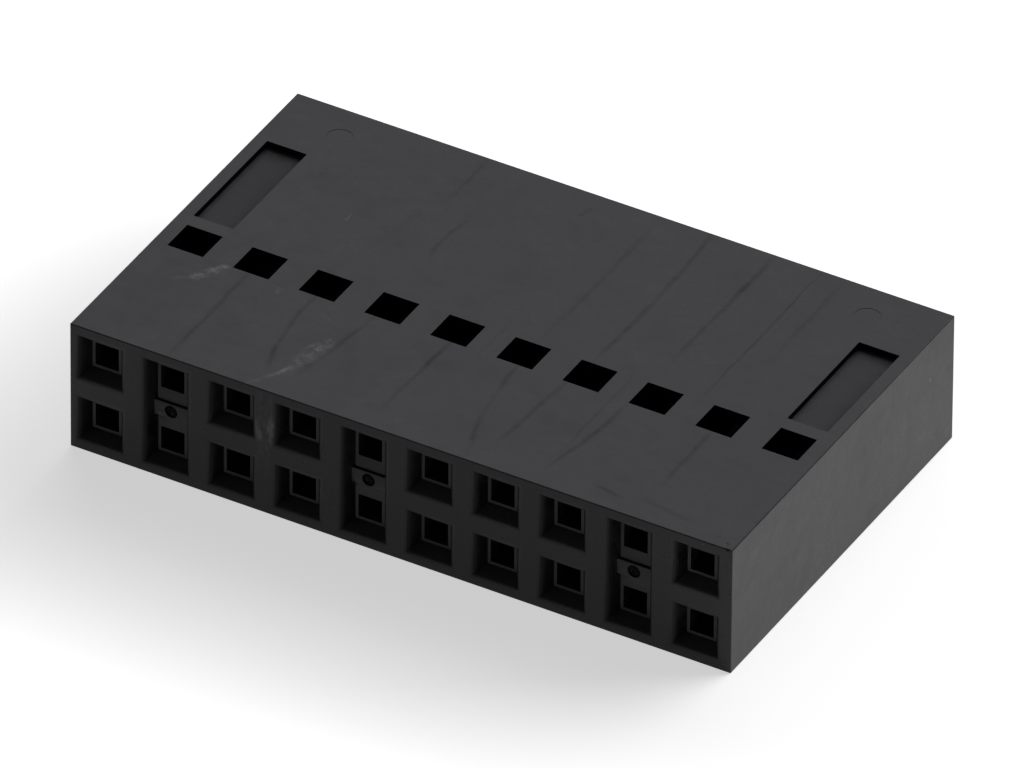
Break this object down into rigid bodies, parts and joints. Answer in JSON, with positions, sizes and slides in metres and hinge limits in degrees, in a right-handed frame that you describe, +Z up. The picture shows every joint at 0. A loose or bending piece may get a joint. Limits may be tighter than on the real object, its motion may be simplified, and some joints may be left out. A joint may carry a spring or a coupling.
{
  "type": "crimp connector housing",
  "caption": "Slim rectangular moulded housing with square pin entries in its mating face, locking windows in both large faces and wire entries at the rear.",
  "frame": {"origin": "middle of the flat underside", "axes": "+X along the columns of contacts, +Y from the mating face to the wire side, +Z up through the two rows"},
  "size_m": [0.0254, 0.0152, 0.0051],
  "materials": {
    "housing": "black glass-filled polyester, fine matte as moulded"
  },
  "bodies": {
    "root": {"housing": "housing"}
  },
  "joints": []
}
